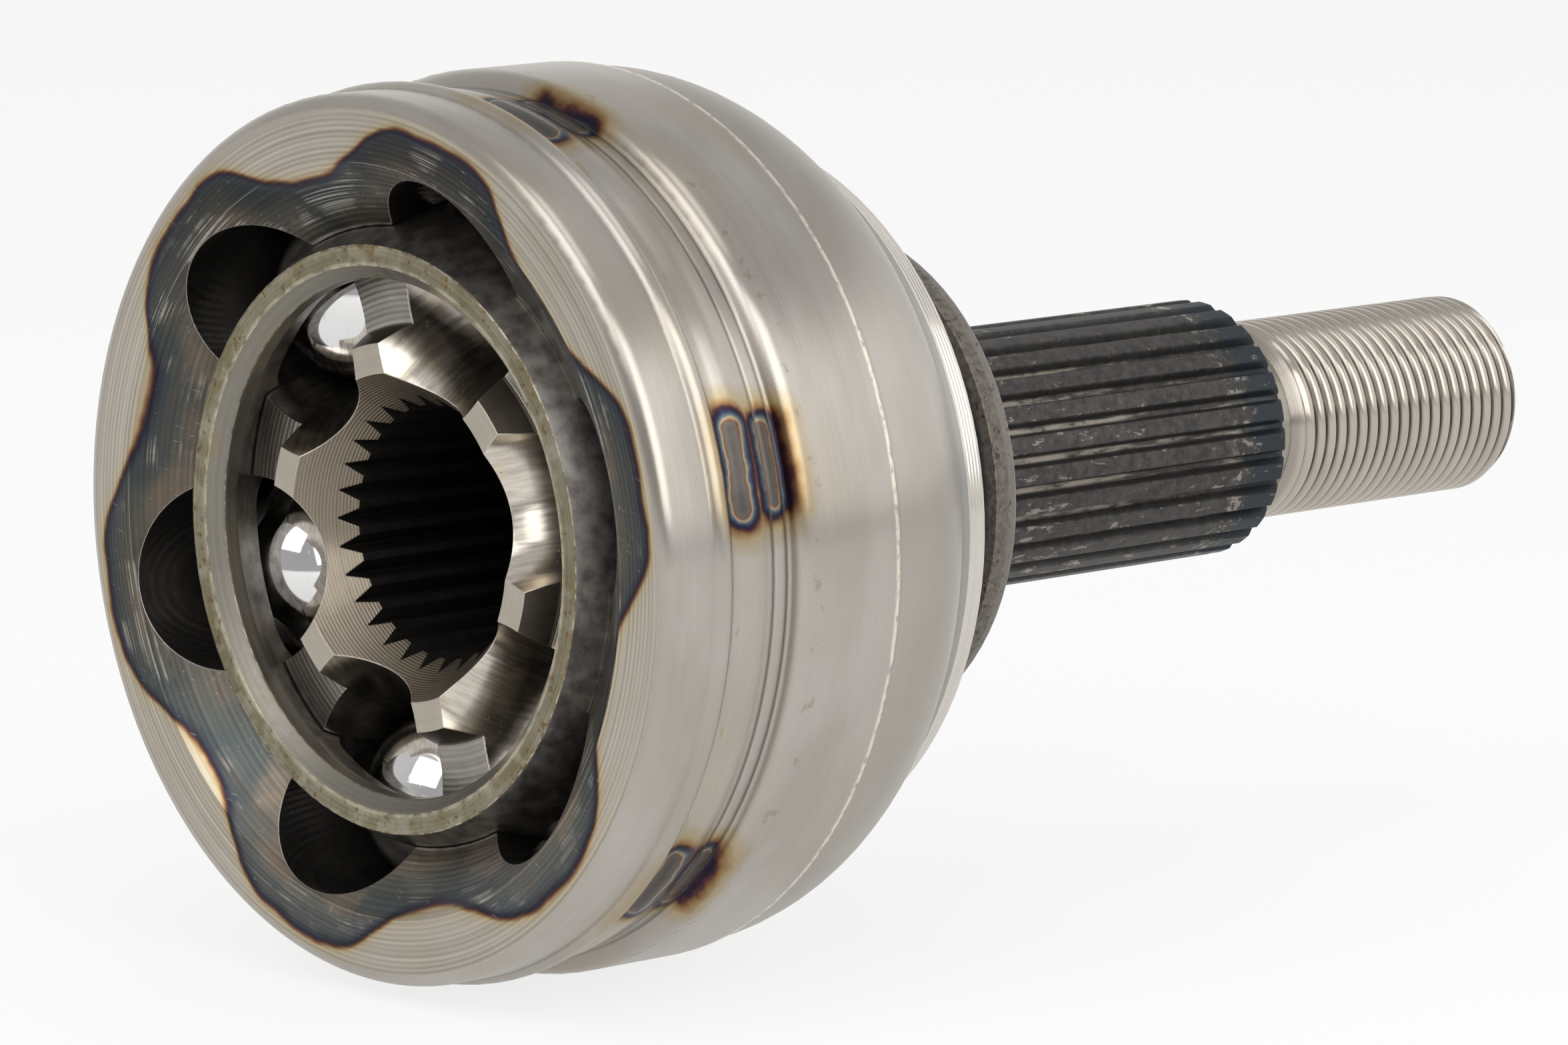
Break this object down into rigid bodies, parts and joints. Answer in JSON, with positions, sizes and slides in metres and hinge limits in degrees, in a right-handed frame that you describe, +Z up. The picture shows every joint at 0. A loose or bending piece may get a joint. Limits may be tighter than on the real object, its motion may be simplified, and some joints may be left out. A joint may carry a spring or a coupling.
{
  "type": "constant velocity joint",
  "caption": "Fixed ball-type drive shaft joint: grooved bell with splined, threaded stub, ball cage, inner race with splined bore, and balls between the tracks.",
  "frame": {"origin": "joint centre, on the axis in the plane of the balls when the joint is straight", "axes": "+X along the bell's axis from the open face to the threaded end of the stub, +Z up, the bend turns about +Y"},
  "size_m": [0.1605, 0.093, 0.093],
  "materials": {
    "turned_steel": "satin turned steel with straw and blue heat tint",
    "oiled_cage_steel": "case-hardened, oiled, olive to brown",
    "ground_race_steel": "ground tracks, turned faces, oiled",
    "ball_steel": "polished bearing steel"
  },
  "bodies": {
    "outer_race": {"outer_race": "turned_steel"},
    "cage": {"cage": "oiled_cage_steel"},
    "inner_race": {"inner_race": "ground_race_steel"},
    "ball_1": {"ball_1": "ball_steel"},
    "ball_2": {"ball_2": "ball_steel"},
    "ball_3": {"ball_3": "ball_steel"},
    "ball_4": {"ball_4": "ball_steel"},
    "ball_5": {"ball_5": "ball_steel"},
    "ball_6": {"ball_6": "ball_steel"}
  },
  "joints": [
    {"name": "articulation", "type": "hinge", "parent": "outer_race", "child": "inner_race", "pos_m": [0, 0, 0], "axis": [0, 1, 0], "range_deg": [-45, 45]},
    {"name": "cage_tilt", "type": "hinge", "parent": "outer_race", "child": "cage", "pos_m": [0, 0, 0], "axis": [0, 1, 0], "range_deg": [-22.5, 22.5]},
    {"name": "ball_1_roll", "type": "hinge", "parent": "outer_race", "child": "ball_1", "pos_m": [-0.0032, 0, 0], "axis": [0, 0.7133, -0.7009], "range_deg": [-16.6, 16.6]},
    {"name": "ball_2_roll", "type": "hinge", "parent": "outer_race", "child": "ball_2", "pos_m": [-0.0032, 0, 0], "axis": [0, 0.9636, 0.2672], "range_deg": [-21.9, 21.9]},
    {"name": "ball_3_roll", "type": "hinge", "parent": "outer_race", "child": "ball_3", "pos_m": [-0.0032, 0, 0], "axis": [0, 0.2504, 0.9681], "range_deg": [-6, 6]},
    {"name": "ball_4_roll", "type": "hinge", "parent": "outer_race", "child": "ball_4", "pos_m": [-0.0032, 0, 0], "axis": [0, -0.7133, 0.7009], "range_deg": [-16.6, 16.6]},
    {"name": "ball_5_roll", "type": "hinge", "parent": "outer_race", "child": "ball_5", "pos_m": [-0.0032, 0, 0], "axis": [0, -0.9636, -0.2672], "range_deg": [-21.9, 21.9]},
    {"name": "ball_6_roll", "type": "hinge", "parent": "outer_race", "child": "ball_6", "pos_m": [-0.0032, 0, 0], "axis": [0, -0.2504, -0.9681], "range_deg": [-6, 6]}
  ],
  "couplings": [
    {"joint": "cage_tilt", "follows": "articulation", "ratio": 0.5},
    {"joint": "ball_1_roll", "follows": "articulation", "ratio": 0.3654},
    {"joint": "ball_2_roll", "follows": "articulation", "ratio": 0.4835},
    {"joint": "ball_3_roll", "follows": "articulation", "ratio": 0.1303},
    {"joint": "ball_4_roll", "follows": "articulation", "ratio": -0.3654},
    {"joint": "ball_5_roll", "follows": "articulation", "ratio": -0.4835},
    {"joint": "ball_6_roll", "follows": "articulation", "ratio": -0.1303}
  ]
}
